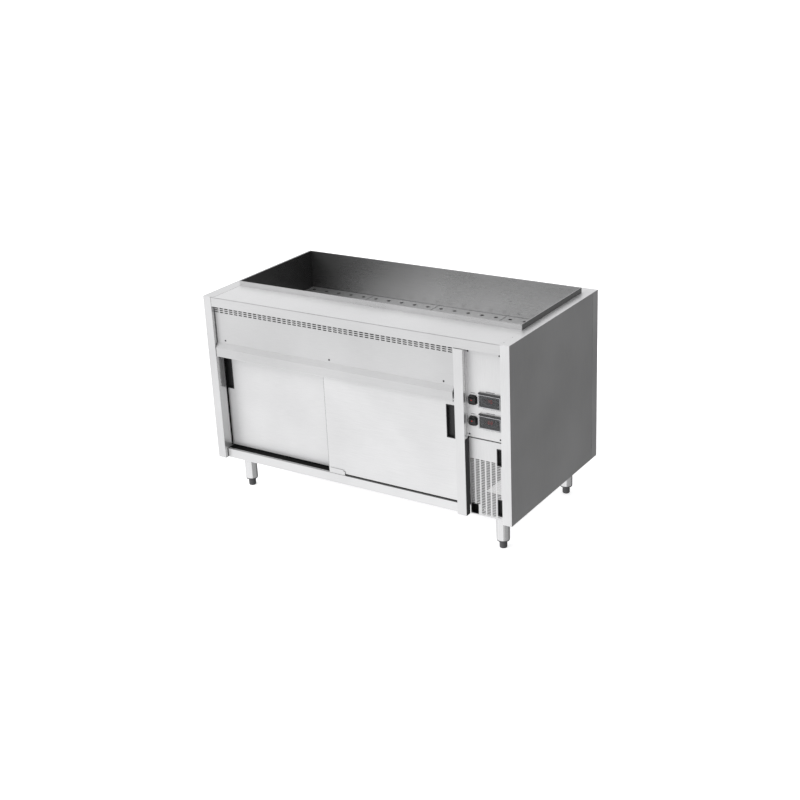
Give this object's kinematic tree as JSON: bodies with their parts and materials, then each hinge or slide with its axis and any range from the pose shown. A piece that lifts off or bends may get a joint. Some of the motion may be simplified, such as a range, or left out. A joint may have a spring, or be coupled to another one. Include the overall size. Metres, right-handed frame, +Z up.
{
  "type": "food holding cabinet",
  "caption": "Free-standing steel holding cabinet: an open heated well in the top, a cupboard with sliding doors below, a control column beside it, and adjustable legs.",
  "frame": {"origin": "on the floor under the centre of the cabinet's footprint", "axes": "+X to the right seen from the front, -Y to the front, +Z up"},
  "size_m": [1.466, 0.765, 0.922],
  "materials": {
    "satin_steel": "satin grain",
    "liner_steel": "satin grain",
    "well_steel": "bright satin",
    "leg_steel": "polished tube",
    "dark_nylon": "matt",
    "black_plastic": "fine texture",
    "grey_plastic": "matt",
    "tinted_cover": "clear, slightly tinted",
    "aluminium": "mill finish",
    "heater_sheath": "heat-darkened",
    "drain_brass": "dull"
  },
  "bodies": {
    "cabinet": {"left_side_panel": "satin_steel", "right_side_panel": "satin_steel", "back_panel": "satin_steel", "base_panel": "satin_steel", "worktop": "satin_steel", "front_apron": "satin_steel", "divider_post": "satin_steel", "fascia_panel": "satin_steel", "door_guide": "satin_steel", "control_panel": "satin_steel", "service_shelf": "satin_steel", "liner_left": "liner_steel", "liner_right": "liner_steel", "liner_wrapper": "liner_steel", "shelf": "liner_steel", "fan_hood": "liner_steel", "well_tank": "well_steel", "leg_front_left": "leg_steel", "leg_front_right": "leg_steel", "leg_rear_left": "leg_steel", "leg_rear_right": "leg_steel", "switch_1_housing": "black_plastic", "switch_2_housing": "black_plastic", "controller_1": "grey_plastic", "controller_2": "grey_plastic", "contactor": "grey_plastic", "fan_motor": "grey_plastic", "door_track": "aluminium", "well_element": "heater_sheath", "fan_element": "heater_sheath", "drain_pipe": "drain_brass", "drain_valve": "drain_brass", "cable_gland": "dark_nylon"},
    "door_left": {"door_left_skin": "satin_steel", "door_left_inner": "satin_steel", "door_left_handle": "black_plastic"},
    "door_right": {"door_right_skin": "satin_steel", "door_right_inner": "satin_steel", "door_right_handle": "black_plastic"},
    "switch_1_rocker_body": {"switch_1_rocker": "black_plastic"},
    "controller_1_cover_body": {"controller_1_cover": "tinted_cover"},
    "controller_1_key_up_body": {"controller_1_key_up": "black_plastic"},
    "controller_1_key_down_body": {"controller_1_key_down": "black_plastic"},
    "switch_2_rocker_body": {"switch_2_rocker": "black_plastic"},
    "controller_2_cover_body": {"controller_2_cover": "tinted_cover"},
    "controller_2_key_up_body": {"controller_2_key_up": "black_plastic"},
    "controller_2_key_down_body": {"controller_2_key_down": "black_plastic"},
    "service_door": {"vent_panel": "satin_steel", "pull_upper": "black_plastic", "pull_lower": "black_plastic"},
    "floor_plate_1": {"well_floor_plate_1": "well_steel"},
    "floor_plate_2": {"well_floor_plate_2": "well_steel"},
    "floor_plate_3": {"well_floor_plate_3": "well_steel"},
    "floor_plate_4": {"well_floor_plate_4": "well_steel"},
    "fan_wheel": {"fan_impeller": "aluminium"},
    "drain_handle": {"drain_lever": "dark_nylon"},
    "foot_front_left_body": {"foot_front_left": "dark_nylon"},
    "foot_front_right_body": {"foot_front_right": "dark_nylon"},
    "foot_rear_left_body": {"foot_rear_left": "dark_nylon"},
    "foot_rear_right_body": {"foot_rear_right": "dark_nylon"}
  },
  "joints": [
    {"name": "door_left_slide", "type": "slide", "parent": "cabinet", "child": "door_left", "axis": [1, 0, 0], "range_m": [0, 0.56]},
    {"name": "door_right_slide", "type": "slide", "parent": "cabinet", "child": "door_right", "axis": [-1, 0, 0], "range_m": [0, 0.545]},
    {"name": "switch_1_rock", "type": "hinge", "parent": "cabinet", "child": "switch_1_rocker_body", "pos_m": [0.556, -0.3585, 0.6465], "axis": [-1, 0, 0], "range_deg": [0, 16]},
    {"name": "switch_2_rock", "type": "hinge", "parent": "cabinet", "child": "switch_2_rocker_body", "pos_m": [0.556, -0.3585, 0.5597], "axis": [-1, 0, 0], "range_deg": [0, 16]},
    {"name": "controller_1_cover_lift", "type": "hinge", "parent": "cabinet", "child": "controller_1_cover_body", "pos_m": [0.6325, -0.3633, 0.6772], "axis": [-1, 0, 0], "range_deg": [0, 90]},
    {"name": "controller_1_key_up_press", "type": "slide", "parent": "cabinet", "child": "controller_1_key_up_body", "axis": [0, 1, 0], "range_m": [0, 0.0012], "stiffness_N_per_m": 300},
    {"name": "controller_1_key_down_press", "type": "slide", "parent": "cabinet", "child": "controller_1_key_down_body", "axis": [0, 1, 0], "range_m": [0, 0.0012], "stiffness_N_per_m": 300},
    {"name": "controller_2_cover_lift", "type": "hinge", "parent": "cabinet", "child": "controller_2_cover_body", "pos_m": [0.6325, -0.3633, 0.5902], "axis": [-1, 0, 0], "range_deg": [0, 90]},
    {"name": "controller_2_key_up_press", "type": "slide", "parent": "cabinet", "child": "controller_2_key_up_body", "axis": [0, 1, 0], "range_m": [0, 0.0012], "stiffness_N_per_m": 300},
    {"name": "controller_2_key_down_press", "type": "slide", "parent": "cabinet", "child": "controller_2_key_down_body", "axis": [0, 1, 0], "range_m": [0, 0.0012], "stiffness_N_per_m": 300},
    {"name": "service_door_swing", "type": "hinge", "parent": "cabinet", "child": "service_door", "pos_m": [0.5334, -0.3527, 0.32], "axis": [0, 0, -1], "range_deg": [0, 90]},
    {"name": "floor_plate_1_lift", "type": "slide", "parent": "cabinet", "child": "floor_plate_1", "axis": [0, 0, 1], "range_m": [0, 0.25]},
    {"name": "floor_plate_2_lift", "type": "slide", "parent": "cabinet", "child": "floor_plate_2", "axis": [0, 0, 1], "range_m": [0, 0.25]},
    {"name": "floor_plate_3_lift", "type": "slide", "parent": "cabinet", "child": "floor_plate_3", "axis": [0, 0, 1], "range_m": [0, 0.25]},
    {"name": "floor_plate_4_lift", "type": "slide", "parent": "cabinet", "child": "floor_plate_4", "axis": [0, 0, 1], "range_m": [0, 0.25]},
    {"name": "fan_spin", "type": "hinge", "parent": "cabinet", "child": "fan_wheel", "pos_m": [0.519, 0.0975, 0.3], "axis": [1, 0, 0], "continuous": true},
    {"name": "drain_lever_turn", "type": "hinge", "parent": "cabinet", "child": "drain_handle", "pos_m": [0.554, -0.3325, 0.182], "axis": [0, -1, 0], "range_deg": [0, 90]},
    {"name": "foot_front_left_screw", "type": "slide", "parent": "cabinet", "child": "foot_front_left_body", "axis": [0, 0, -1], "range_m": [0, 0.025]},
    {"name": "foot_front_right_screw", "type": "slide", "parent": "cabinet", "child": "foot_front_right_body", "axis": [0, 0, -1], "range_m": [0, 0.025]},
    {"name": "foot_rear_left_screw", "type": "slide", "parent": "cabinet", "child": "foot_rear_left_body", "axis": [0, 0, -1], "range_m": [0, 0.025]},
    {"name": "foot_rear_right_screw", "type": "slide", "parent": "cabinet", "child": "foot_rear_right_body", "axis": [0, 0, -1], "range_m": [0, 0.025]}
  ]
}
